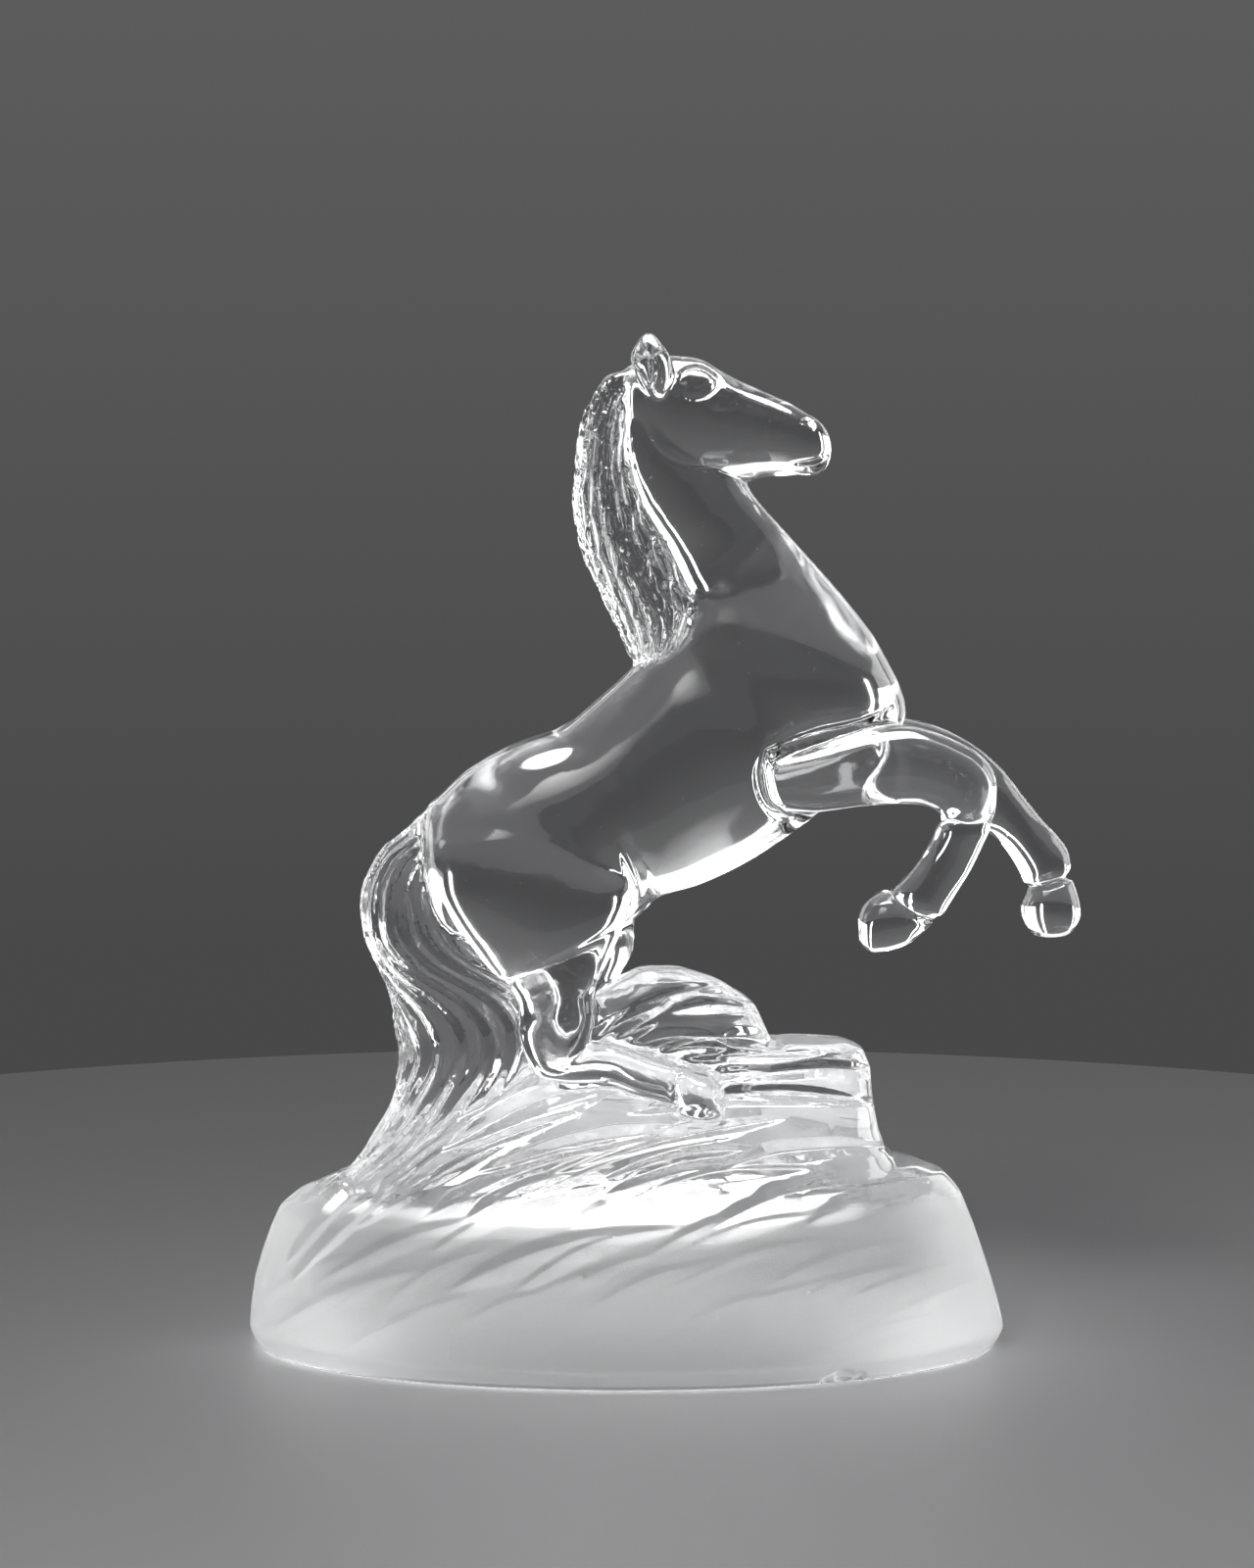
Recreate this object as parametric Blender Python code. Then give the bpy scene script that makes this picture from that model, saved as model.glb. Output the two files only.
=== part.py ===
"""Rearing horse figurine, pressed in one piece from clear crystal on a frosted oval base.

The horse faces +X and the side that is usually shown looks along -Y. The origin is the middle of
the underside. Every form is a loft through a few stations, the lofts are melted into one body, and
the hair and the grass are then cut into its skin.
"""
import math

import bmesh
import bpy
import numpy as np

# Driving dimensions in metres
BASE_LENGTH = 0.150
BASE_DEPTH = 0.083
BASE_HEIGHT = 0.040
HORSE_HEIGHT = 0.160

# The pose is drawn on a sheet 160 units tall, from the top of the base to the tips of the ears,
# so at this size one unit is one millimetre.
SHEET_HEIGHT = 160
UNIT = HORSE_HEIGHT / SHEET_HEIGHT

# How the lofts become one skin
RING_POINTS = 40
STEPS_PER_STATION = 8
CAP_RINGS = 6
VOXEL = 0.0008
MELT_PASSES = 6
MELT_FACTOR = 0.5
SKIN_TRIANGLES = 9700

# How deep the mould's cutting is, and in how many locks
TAIL_GROOVE = 0.001
MANE_GROOVE = 0.0008
TAIL_LOCKS = 7
MANE_LOCKS = 4
# What the melting takes off the skin, given back
SWELL = 0.0002

# Base: height, left end, right end and half depth as shares of the base's own sizes
BASE_LEVELS = [
    (-0.1, -0.967, 0.964, 0.934),
    (0.0, -0.967, 0.964, 0.934),
    (0.05, -0.988, 0.985, 0.975),
    (0.1, -1.0, 0.998, 1.0),
    (0.225, -0.994, 0.982, 0.988),
    (0.35, -0.984, 0.963, 0.969),
    (0.475, -0.965, 0.941, 0.940),
    (0.6, -0.941, 0.918, 0.901),
    (0.7, -0.917, 0.897, 0.858),
    (0.7625, -0.880, 0.883, 0.814),
    (0.8125, -0.820, 0.866, 0.759),
    (0.875, -0.750, 0.835, 0.687),
    (0.925, -0.660, 0.767, 0.614),
    (0.9625, -0.533, 0.687, 0.506),
    (0.99, -0.267, 0.467, 0.289),
]
# Foot of the bank: height above the top of the base in units, then shares of the base's sizes
BANK_FOOT = [(-10, -0.74, 0.76, 0.70), (-4, -0.69, 0.71, 0.63)]

# Level outlines in units: height above the top of the base, left end, right end, half depth
BANK = [
    (0, -47, 51, 22.5),
    (4, -43, 49.6, 19.0),
    (8, -38, 48.8, 16.0),
    (12, -29, 48.2, 13.0),
    (16, -20, 48, 11.0),
    (19.6, -14, 46.5, 9.6),
    (21.2, -11, 43, 8.0),
]
MOUND = [
    (10, -9, 32, 12.5),
    (18, -9, 30.5, 10.6),
    (23, -8.6, 27.6, 9.6),
    (28, -7.5, 25.4, 8.8),
    (30.8, -5.8, 22.6, 8.0),
    (33.6, -1.6, 16.8, 6.6),
    (35.4, 2, 11, 4.4),
]

# Stations in units: (x, z) of one edge, (x, z) of the edge facing it, middle y, half width
BODY = [
    (-37.5, 69, -34.5, 42, 0, 12.0),
    (-31, 75, -20.5, 36, 0, 15.5),
    (-22, 80, -6, 41, 0, 16.5),
    (-12.5, 83.5, 5.5, 49.5, 0, 16.2),
    (-5.5, 89, 14.5, 52.6, 0, 15.8),
    (0, 94, 24, 57.2, 0, 15.8),
    (3, 97.5, 35, 64.6, 0, 15.5),
    (6, 101, 43.5, 72, 0, 14.5),
    (8, 105, 51, 79, 0, 13.5),
    (9, 108.5, 54.6, 87.3, 0, 12.4),
    (9, 112, 49.2, 99.6, 0, 11.0),
    (7.5, 115.5, 43, 108, 0, 10.0),
    (5.5, 120, 36.9, 115, 0, 9.0),
    (2.5, 125, 30.6, 122, 0, 8.3),
    (-0.5, 130, 25.6, 127.6, 0, 7.8),
    (-2.5, 134.5, 22.8, 131.5, 0, 7.4),
    (-3.5, 139.5, 20, 134.5, 0, 7.0),
    (-2.5, 145.5, 17, 137, 0, 6.5),
    (0, 151, 14, 141, 0, 5.5),
]
HEAD = [
    (0.5, 154, 2, 137, 0, 5.5),
    (4.5, 155.8, 6, 134, 0, 6.5),
    (9.5, 155.9, 10.5, 131, 0, 7.2),
    (14.5, 155.2, 15.5, 130.5, 0, 7.4),
    (19, 152.6, 20.5, 131, 0, 7.0),
    (23.5, 150.3, 24.5, 132, 0, 6.2),
    (27.5, 148.6, 28, 132.6, 0, 5.6),
    (31.7, 146.7, 31.4, 132.8, 0, 5.3),
    (35.4, 144.5, 34.9, 132.9, 0, 5.1),
]
MANE = [
    (-4.5, 151.5, 1, 152.5, 0, 3.5),
    (-7.5, 147, 0, 147.5, 0, 5.2),
    (-9.5, 141.5, 0, 142, 0, 6.4),
    (-10, 135.5, 0.5, 136, 0, 7.2),
    (-10.7, 129.5, 2.5, 130.5, 0, 7.8),
    (-10, 122.5, 5.5, 124, 0, 8.4),
    (-8, 115.5, 9, 118, 0, 9.2),
    (-5, 109, 12.5, 112, 0, 9.8),
    (-2, 103, 15.5, 107, 0, 10.2),
    (0.5, 97.5, 14, 101, 0, 9.6),
    (1.5, 95.5, 8, 97, 0, 7.0),
]
TAIL = [
    (-40, 66.5, -34, 60, 0, 4.0),
    (-44.5, 62.5, -35, 56, 0, 5.0),
    (-48.7, 59, -35, 52, 0, 6.0),
    (-52, 52.7, -34.5, 49, 0, 7.0),
    (-52.8, 46.8, -31.5, 45, 0, 7.8),
    (-52, 41.5, -28, 41.5, 0, 8.3),
    (-49.5, 36, -24, 37.5, 0, 8.7),
    (-47.3, 30.8, -20.5, 33, 0, 9.0),
    (-46.2, 24.3, -18.5, 27, 0, 9.4),
    (-45.2, 18, -18, 20, 0, 9.8),
    (-46, 12.5, -19.5, 13, 0, 10.4),
    (-47.4, 7.6, -23, 7.2, 0, 11.4),
    (-50, 3, -28, 1.6, 0, 12.8),
    (-52.6, -1.3, -33, -4, 0, 14.2),
    (-56.5, -6.5, -36, -11, 0, 15.0),
]
THIGH = [
    (-38, 60, 0, 62, 8, 8.5),
    (-37.3, 53, 2, 53, 8.6, 9.2),
    (-34, 47, 0.8, 47.5, 9.2, 9.2),
    (-28.7, 38.7, -1, 45, 9.6, 8.8),
]
LOWER_HIND_LEG = [
    (-31, 44, -1, 45, 9, 6.6),
    (-25.5, 37, -4.8, 38, 9.5, 6.6),
    (-21.7, 31.7, -6.5, 32.7, 10, 6.2),
    (-21, 28, -6.5, 28, 10.2, 5.9),
    (-21, 24, -7, 24, 10.4, 5.7),
    (-19.6, 19.5, -7.7, 21, 10.6, 5.5),
    (-17.5, 16.3, -8, 20.5, 10.8, 5.2),
    (-12.5, 15, -6.5, 22, 11, 4.9),
    (-4, 15, -2, 21.7, 11.3, 4.6),
    (2, 13, 3.7, 19.7, 11.6, 4.4),
    (7.7, 11.5, 10, 18, 11.9, 4.6),
    (11.5, 10.5, 13.5, 16.5, 12.2, 4.2),
]
HIND_HOOF = [
    (10.2, 8.4, 12, 16, 12.4, 4.2),
    (14.5, 7.6, 15, 16.4, 12.6, 5.2),
    (17.6, 8.2, 17, 14.7, 12.6, 4.8),
]
FORELEG_NEAR = [
    (28.5, 79, 29.5, 68.5, 10.3, 6.0),
    (37, 81.2, 37, 68, 10.6, 6.6),
    (45.5, 83.4, 45, 69, 10.4, 6.5),
    (53.4, 84.6, 52, 69.4, 9.8, 6.3),
    (59, 83.6, 57, 69.2, 9.4, 6.1),
    (65, 81, 60, 68.2, 9.1, 6.0),
    (69.2, 78.3, 61, 67.3, 8.9, 5.8),
    (71.7, 74, 61.2, 66, 8.8, 5.6),
    (71.5, 67, 60.5, 64.3, 8.8, 5.3),
    (69.4, 61.5, 59.2, 61.3, 8.8, 4.9),
    (67.2, 56.6, 56.8, 57.6, 8.8, 4.7),
    (64.4, 52, 53.8, 54, 8.8, 4.7),
    (61.6, 47.4, 52.4, 52.3, 8.8, 4.8),
]
HOOF_NEAR = [
    (59.6, 45.3, 50.5, 52.2, 8.8, 4.3),
    (54.8, 42.2, 47.0, 50.2, 8.8, 5.5),
    (50.8, 40.4, 45.6, 45.4, 8.8, 5.2),
]
FORELEG_FAR = [
    (29.5, 80, 30, 68.5, 10.3, 6.0),
    (40, 82.8, 40, 69, 10.6, 6.5),
    (50, 84.6, 49, 70, 10.2, 6.4),
    (60, 83.2, 58, 69.5, 9.8, 6.1),
    (68, 79.4, 63.5, 67, 9.5, 5.7),
    (73.6, 75, 67.5, 64, 9.3, 5.3),
    (76.5, 71.6, 70, 62.5, 9.2, 5.0),
    (79.5, 67.7, 72.3, 61.4, 9.2, 4.8),
    (82.5, 64, 74.3, 59.8, 9.2, 4.7),
    (85.4, 61, 76.2, 57.3, 9.2, 4.7),
    (87.6, 58, 78, 54.3, 9.2, 4.7),
    (88.4, 54.5, 79.4, 51.2, 9.2, 4.7),
]
HOOF_FAR = [
    (88.8, 52, 79.8, 49.9, 9.2, 4.5),
    (90.1, 47.6, 78.6, 46.6, 9.2, 5.5),
    (90.0, 43.0, 79.9, 42.8, 9.2, 5.2),
]
EAR = [
    (5.2, 149, 7.6, 149.4, 6.2, 1.2),
    (3.4, 151.6, 8.6, 151.9, 6.2, 2.0),
    (0.9, 154.6, 8.5, 155, 5.9, 2.4),
    (1.0, 156.8, 7.5, 157.2, 5.5, 2.1),
    (2.3, 158.8, 6, 159, 5.1, 1.5),
]
FAR_HIND_STEP = 0.005
FAR_HIP_BACK = 0.0015
STEP_FADES_FROM = 0.043
STEP_FADES_TO = 0.0475
WEB_HALF_WIDTH = 0.0085
WEB_INSET = 0.002

# Creases pressed into the sides: points in the side view, half width, depth, side (0 is both)
CREASES = [
    ([(26.5, 80), (26, 75), (28, 69.5), (31.5, 66.5)], 2.0, 1.2, 0),
    ([(27, 80.5), (35, 83.5), (44, 86), (51, 88.5)], 2.2, 0.9, 0),
    ([(60.5, 66.8), (65, 64.8), (71.8, 65.4)], 1.3, 0.7, -1),
    ([(51, 52), (55, 48.5), (60.5, 46)], 1.3, 0.8, -1),
    ([(10.5, 18.5), (9, 15), (9.6, 10.5)], 1.2, 0.8, -1),
    ([(15.5, 18.5), (14, 15), (14.6, 10.5)], 1.2, 0.8, 1),
    ([(78.5, 50.5), (84, 51.5), (89.5, 53)], 1.3, 0.8, 1),
    ([(3, 143), (6, 137.5), (11, 134.5), (17, 134.5)], 1.6, 0.6, 0),
    ([(40, 137.5), (36.5, 136), (32, 135.4)], 0.9, 0.5, 0),
    ([(33.6, 143.4), (35.2, 143.2), (36.2, 141.8)], 0.9, 0.7, 0),
    ([(9.9, 150.6), (11.2, 153.2), (14.6, 153.6), (17.6, 151), (14.8, 148.2), (11.4, 148.2),
      (9.9, 150.6)], 0.9, 0.7, 0),
    ([(-1, 62), (1.5, 56), (2, 50)], 2.0, 0.8, 0),
    ([(-3.5, 152), (-0.5, 146.5), (-0.3, 139), (2, 130), (6, 122), (11, 114), (15.5, 107)], 1.1, 0.8, 0),
]
# Swellings: x, z, half length, half height, rise, side
SWELLINGS = [
    (13.7, 150.9, 3.2, 2.3, 0.9, 0),
    (-27, 73, 9, 5, 0.8, 0),
    (44, 92, 9, 9, 0.8, 0),
    (23, 137, 5, 3.5, 0.5, 0),
]

# Cuts of the grass and the rock, as seen from a little above: rows of long leaves.
# Each row: left x, right x, bottom v, top v, tilt at the left, tilt at the right, length, half
# width, depth, how many
GRASS_VIEW_TILT = math.radians(14)
GRASS = [
    (-7, 14, 18, 31, 38, 8, 15, 1.5, 1.3, 7),
    (8, 27, 18, 29, 22, -12, 15, 1.5, 1.3, 5),
    (20, 46, 3, 17, 2, 0, 18, 1.3, 1.3, 7),
    (-26, 20, -5, 8, 14, 8, 24, 1.4, 1.4, 9),
    (-62, -28, -17, 0, 38, 30, 20, 1.5, 1.4, 9),
    (-40, 30, -16, -5, 20, 8, 30, 1.8, 1.4, 10),
    (10, 50, -14, -2, 10, 4, 24, 1.7, 1.2, 6),
    (-55, 55, -26, -16, 22, 12, 26, 2.2, 0.7, 10),
]


def clear_scene():
    for old in list(bpy.data.objects):
        bpy.data.objects.remove(old)


def crystal_material():
    material = bpy.data.materials.new("crystal")
    material.use_nodes = True
    shader = material.node_tree.nodes["Principled BSDF"]
    shader.inputs["Base Color"].default_value = (0.93, 0.94, 0.95, 1)
    shader.inputs["Roughness"].default_value = 0.03
    shader.inputs["Metallic"].default_value = 0.0
    shader.inputs["Transmission Weight"].default_value = 1.0
    return material


def smoothstep(low, high, value):
    t = np.clip((value - low) / (high - low), 0, 1)
    return t * t * (3 - 2 * t)


def spline(stations, steps=STEPS_PER_STATION):
    """The stations joined by a Catmull-Rom spline, as one array of finer stations."""
    table = np.array(stations, float)
    padded = np.vstack([2 * table[0] - table[1], table, 2 * table[-1] - table[-2]])
    fine = []
    for i in range(1, len(padded) - 2):
        before, start, end, after = padded[i - 1:i + 3]
        for t in np.arange(steps) / steps:
            fine.append(0.5 * (
                2 * start + (end - before) * t
                + (2 * before - 5 * start + 4 * end - after) * t ** 2
                + (3 * start - before - 3 * end + after) * t ** 3))
    fine.append(table[-1])
    return np.array(fine)


def superellipse(count, power):
    """Ring points (c, s), round at power 2 and boxier above it."""
    angle = np.arange(count) * 2 * math.pi / count
    c, s = np.cos(angle), np.sin(angle)
    return (np.sign(c) * np.abs(c) ** (2 / power), np.sign(s) * np.abs(s) ** (2 / power))


def skin_rings(rings):
    """A closed mesh through rings of points, each end closed by a fan on its own middle."""
    bm = bmesh.new()
    rows = [[bm.verts.new(point) for point in ring] for ring in rings]
    count = len(rows[0])
    for low, high in zip(rows, rows[1:]):
        for k in range(count):
            bm.faces.new((low[k], low[(k + 1) % count], high[(k + 1) % count], high[k]))
    for row, ring in ((rows[0], rings[0]), (rows[-1], rings[-1])):
        middle = bm.verts.new(np.mean(ring, axis=0))
        for k in range(count):
            bm.faces.new((row[k], row[(k + 1) % count], middle))
    bmesh.ops.recalc_face_normals(bm, faces=bm.faces)
    mesh = bpy.data.meshes.new("loft")
    bm.to_mesh(mesh)
    bm.free()
    return mesh


def loft(stations, power=2.2, caps=(2.0, 2.0), side=1):
    """A limb or trunk: a ring for every step between its two edges, and a rounded cap at each end.

    side is 1 for the far side of the horse and -1 for the near side."""
    fine = spline(stations)
    middle = np.column_stack([(fine[:, 0] + fine[:, 2]) / 2, side * fine[:, 4], (fine[:, 1] + fine[:, 3]) / 2])
    across = np.column_stack([(fine[:, 0] - fine[:, 2]) / 2, 0 * fine[:, 0], (fine[:, 1] - fine[:, 3]) / 2])
    width = fine[:, 5]
    c, s = superellipse(RING_POINTS, power)

    def ring(centre, half_across, half_width):
        points = centre + np.outer(c, half_across)
        points[:, 1] += s * half_width
        return points * UNIT + np.array([0, 0, BASE_HEIGHT])

    def cap(end, inner, length):
        outward = middle[end] - middle[inner]
        outward /= np.linalg.norm(outward)
        angles = np.linspace(0, math.pi / 2, CAP_RINGS + 1)[1:] * 0.97
        return [ring(middle[end] + outward * length * math.sin(a), across[end] * math.cos(a),
                     width[end] * math.cos(a)) for a in angles]

    body = [ring(m, a, w) for m, a, w in zip(middle, across, width)]
    return skin_rings(cap(0, 1, caps[0])[::-1] + body + cap(-1, -2, caps[1]))


def stack(levels, power=2.0):
    """A mound built from level outlines: height, left end, right end and half depth, in metres."""
    c, s = superellipse(RING_POINTS * 3, power)
    rings = []
    for z, left, right, half_depth in levels:
        x = (left + right) / 2 + c * (right - left) / 2
        rings.append(np.column_stack([x, s * half_depth, np.full(len(x), z)]))
    return skin_rings(rings)


def base_share(left, right, half_depth):
    return (left * BASE_LENGTH / 2, right * BASE_LENGTH / 2, half_depth * BASE_DEPTH / 2)


def base_levels():
    return [(z * BASE_HEIGHT, *base_share(*outline)) for z, *outline in BASE_LEVELS]


def drawn_levels(levels):
    return [(z * UNIT + BASE_HEIGHT, left * UNIT, right * UNIT, depth * UNIT) for z, left, right, depth in levels]


def bank_levels():
    """The bank's foot follows the base, and its upper levels follow the horse."""
    foot = [(z * UNIT + BASE_HEIGHT, *base_share(*outline)) for z, *outline in BANK_FOOT]
    return foot + drawn_levels(BANK)


def stepped_forward(stations):
    """The far hind leg: the near one, moved forward below the hip."""
    moved = []
    for x0, z0, x1, z1, y, width in stations:
        share = 1 - float(smoothstep(STEP_FADES_FROM, STEP_FADES_TO, (z0 + z1) / 2 * UNIT))
        shift = (FAR_HIND_STEP * share - FAR_HIP_BACK * (1 - share)) / UNIT
        moved.append((x0 + shift, z0, x1 + shift, z1, y, width))
    return moved


def web_between_legs():
    """The glass left standing between the hind legs, where the mould could not reach."""
    return [(x0 + WEB_INSET / UNIT, z0, x1 - WEB_INSET / UNIT / 2, z1, 0, WEB_HALF_WIDTH / UNIT)
            for x0, z0, x1, z1, y, width in THIGH[:-1] + LOWER_HIND_LEG[1:6]]


def forms():
    """Every form of the figurine, as closed meshes that run into each other."""
    made = [
        stack(base_levels()),
        stack(bank_levels(), power=3.2),
        stack(drawn_levels(MOUND), power=2.6),
        loft(BODY, caps=(4, 2)),
        loft(HEAD, caps=(2, 4.8)),
        loft(MANE, power=2.5, caps=(1, 1.5)),
        loft(TAIL, power=2.3, caps=(1, 1)),
        loft(web_between_legs(), power=3, caps=(1, 1)),
        loft(FORELEG_NEAR, power=2.3, caps=(2.5, 1), side=-1),
        loft(HOOF_NEAR, power=2.5, caps=(1.5, 2.4), side=-1),
        loft(FORELEG_FAR, power=2.3, caps=(2.5, 1), side=1),
        loft(HOOF_FAR, power=2.5, caps=(1.5, 2.4), side=1),
    ]
    for side, pose in ((-1, list), (1, stepped_forward)):
        made.append(loft(pose(THIGH), power=2.2, caps=(7, 2.6), side=side))
        made.append(loft(pose(LOWER_HIND_LEG), power=2.4, caps=(1, 1), side=side))
        made.append(loft(pose(HIND_HOOF), power=2.5, caps=(1.5, 1.5), side=side))
        made.append(loft(EAR, caps=(1.4, 1.5), side=side))
    return made


def joined(meshes):
    bm = bmesh.new()
    for mesh in meshes:
        bm.from_mesh(mesh)
    mesh = bpy.data.meshes.new("horse_forms")
    bm.to_mesh(mesh)
    bm.free()
    return mesh


def with_modifiers(mesh, *settings):
    """The mesh after a list of (type, values) modifiers."""
    obj = bpy.data.objects.new("work", mesh)
    bpy.context.scene.collection.objects.link(obj)
    for kind, values in settings:
        modifier = obj.modifiers.new(kind.title(), kind)
        for name, value in values.items():
            setattr(modifier, name, value)
    graph = bpy.context.evaluated_depsgraph_get()
    result = bpy.data.meshes.new_from_object(obj.evaluated_get(graph))
    bpy.data.objects.remove(obj)
    return result


def melted(meshes):
    """All forms as one skin, the creases between them softened as fire-polished glass is."""
    return with_modifiers(
        joined(meshes),
        ("REMESH", {"mode": "VOXEL", "voxel_size": VOXEL}),
        ("SMOOTH", {"factor": MELT_FACTOR, "iterations": MELT_PASSES}))


def on_loft(points, stations, power, side=0):
    """Where points lie on a loft: how far along it (0 to 1), the angle round it, and how surely they
    are on its surface (1) and not on a form beside it (0). Points and stations are in units."""
    fine = spline(stations, 16)
    middle = np.column_stack([(fine[:, 0] + fine[:, 2]) / 2, (fine[:, 1] + fine[:, 3]) / 2])
    across = np.column_stack([(fine[:, 0] - fine[:, 2]) / 2, (fine[:, 1] - fine[:, 3]) / 2])
    size = np.linalg.norm(across, axis=1)
    nearest = np.zeros(len(points), int)
    u = np.zeros(len(points))
    for start in range(0, len(points), 20000):
        part = points[start:start + 20000, None, (0, 2)] - middle[None]
        share = np.einsum("pij,ij->pi", part, across) / size ** 2
        gap = part - np.clip(share, -1, 1)[..., None] * across[None]
        best = np.einsum("pij,pij->pi", gap, gap).argmin(axis=1)
        nearest[start:start + 20000] = best
        u[start:start + 20000] = share[np.arange(len(best)), best]
    v = (points[:, 1] - side * fine[nearest, 4]) / fine[nearest, 5]
    reach = (np.abs(u) ** power + np.abs(v) ** power) ** (1 / power)
    off = np.abs(reach - 1) * np.minimum(size[nearest], fine[nearest, 5])
    inside = (nearest > 0) & (nearest < len(fine) - 1)
    surely = (1 - smoothstep(0.6, 1.6, off)) * inside
    return nearest / (len(fine) - 1), np.arctan2(v, u), surely


def cusped(phase):
    """1 on the line between two locks, 0 on the back of a lock."""
    return (1 - np.abs(np.sin(math.pi * phase))) ** 1.3


def hair(points):
    """Depth of the grooves of the tail and of the mane."""
    along, angle, surely = on_loft(points, TAIL, 2.3)
    turn = TAIL_LOCKS * np.abs(angle) / math.pi + 0.9 * np.sin(7 * along - 0.4)
    depth = TAIL_GROOVE / UNIT * cusped(turn) * surely * smoothstep(0.02, 0.15, along)
    along, angle, surely = on_loft(points, MANE, 2.5)
    turn = MANE_LOCKS * np.abs(angle) / math.pi + 2.2 * along + 0.35 * np.sin(16 * along)
    depth += MANE_GROOVE / UNIT * cusped(turn) * surely * smoothstep(0, 0.1, along)
    return depth - SWELL / UNIT


def distance_to_line(points, line):
    """Distance of 2D points from a line through a few points, and how far along it they are."""
    line = np.array(line, float)
    lengths = np.linalg.norm(np.diff(line, axis=0), axis=1)
    total = lengths.sum()
    best = np.full(len(points), 1e9)
    place = np.zeros(len(points))
    before = 0.0
    for start, end, length in zip(line, line[1:], lengths):
        t = np.clip((points - start) @ (end - start) / length ** 2, 0, 1)
        away = np.linalg.norm(points - start - t[:, None] * (end - start), axis=1)
        closer = away < best
        best[closer] = away[closer]
        place[closer] = ((before + t * length) / total)[closer]
        before += length
    return best, place


def creases(points):
    depth = np.zeros(len(points))
    flat = points[:, (0, 2)]
    for line, half_width, deep, side in CREASES:
        away, place = distance_to_line(flat, spline(line, 6))
        taper = np.sin(math.pi * np.clip(place, 0.04, 0.96)) ** 0.4
        cut = deep * np.clip(1 - (away / (half_width * taper)) ** 2, 0, 1) * taper
        depth = np.maximum(depth, np.where(points[:, 1] * side >= 0, cut, 0) * (np.abs(points[:, 1]) > 1.5))
    for x, z, half_length, half_height, rise, side in SWELLINGS:
        round_it = ((flat[:, 0] - x) / half_length) ** 2 + ((flat[:, 1] - z) / half_height) ** 2
        depth -= rise * np.clip(1 - round_it, 0, 1) ** 1.5 * smoothstep(2, 7, np.abs(points[:, 1]))
    return depth


def grass(points, normals):
    """Long leaf-shaped cuts, drawn as seen from a little above and repeated on the far side."""
    away_from_middle = np.abs(points[:, 1])
    seen = np.column_stack([
        points[:, 0],
        points[:, 2] * math.cos(GRASS_VIEW_TILT) - away_from_middle * math.sin(GRASS_VIEW_TILT)])
    depth = np.zeros(len(points))
    dice = np.random.RandomState(7)
    for left, right, bottom, top, tilt_left, tilt_right, length, half_width, deep, count in GRASS:
        for k in range(count):
            x = left + (right - left) * (k + dice.uniform(0.1, 0.9)) / count
            v = dice.uniform(bottom, top)
            tilt = math.radians(np.interp(x, (left, right), (tilt_left, tilt_right)) + dice.uniform(-4, 4))
            reach = length * dice.uniform(0.7, 1.3) / 2
            bend = math.radians(dice.uniform(2, 9))
            tip = (math.cos(tilt - bend) * reach, math.sin(tilt - bend) * reach)
            root = (math.cos(tilt + bend) * reach, math.sin(tilt + bend) * reach)
            line = [(x - root[0], v - root[1]), (x, v), (x + tip[0], v + tip[1])]
            away, place = distance_to_line(seen, spline(line, 5))
            wide = half_width * dice.uniform(0.7, 1.3) * np.sin(math.pi * np.clip(place, 0.01, 0.99)) ** 0.8
            cut = deep * np.clip(1 - (away / wide) ** 2, 0, 1) * np.minimum(1, wide / half_width)
            depth = np.maximum(depth, cut)
    others = [(TAIL, 2.3, 0), (LOWER_HIND_LEG, 2.4, -1), (HIND_HOOF, 2.5, -1),
              (stepped_forward(LOWER_HIND_LEG), 2.4, 1), (stepped_forward(HIND_HOOF), 2.5, 1)]
    bare = np.ones(len(points))
    for stations, power, side in others:
        bare *= 1 - on_loft(points, stations, power, side)[2]
    above_base = smoothstep(-34, -24, points[:, 2])
    below_horse = 1 - smoothstep(34, 37, points[:, 2])
    facing_out = smoothstep(0.02, 0.3, np.abs(normals[:, 1]) + 0.25 * np.abs(normals[:, 2]))
    return depth * bare * above_base * below_horse * facing_out


def carved(mesh):
    """Press the hair, the creases and the grass into the skin."""
    count = len(mesh.vertices)
    place = np.empty(count * 3)
    normal = np.empty(count * 3)
    mesh.vertices.foreach_get("co", place)
    mesh.vertices.foreach_get("normal", normal)
    place = place.reshape(-1, 3)
    normal = normal.reshape(-1, 3)
    points = (place - np.array([0, 0, BASE_HEIGHT])) / UNIT
    depth = np.maximum(hair(points), grass(points, normal)) + creases(points)
    place -= normal * depth[:, None] * UNIT
    mesh.vertices.foreach_set("co", place.ravel())
    mesh.update()
    return mesh


def thinned(mesh):
    triangles = sum(len(p.vertices) - 2 for p in mesh.polygons)
    return with_modifiers(mesh, ("DECIMATE", {"ratio": SKIN_TRIANGLES / triangles, "use_collapse_triangulate": True}))


def cut_flat(mesh):
    """The underside, cut flat at z = 0."""
    bm = bmesh.new()
    bm.from_mesh(mesh)
    everything = bm.verts[:] + bm.edges[:] + bm.faces[:]
    cut = bmesh.ops.bisect_plane(bm, geom=everything, plane_co=(0, 0, 0), plane_no=(0, 0, 1), clear_inner=True)
    rim = [item for item in cut["geom_cut"] if isinstance(item, bmesh.types.BMEdge)]
    bmesh.ops.edgeloop_fill(bm, edges=rim)
    bmesh.ops.triangulate(bm, faces=[face for face in bm.faces if len(face.verts) > 3])
    bmesh.ops.recalc_face_normals(bm, faces=bm.faces)
    bm.to_mesh(mesh)
    bm.free()
    return mesh


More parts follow.
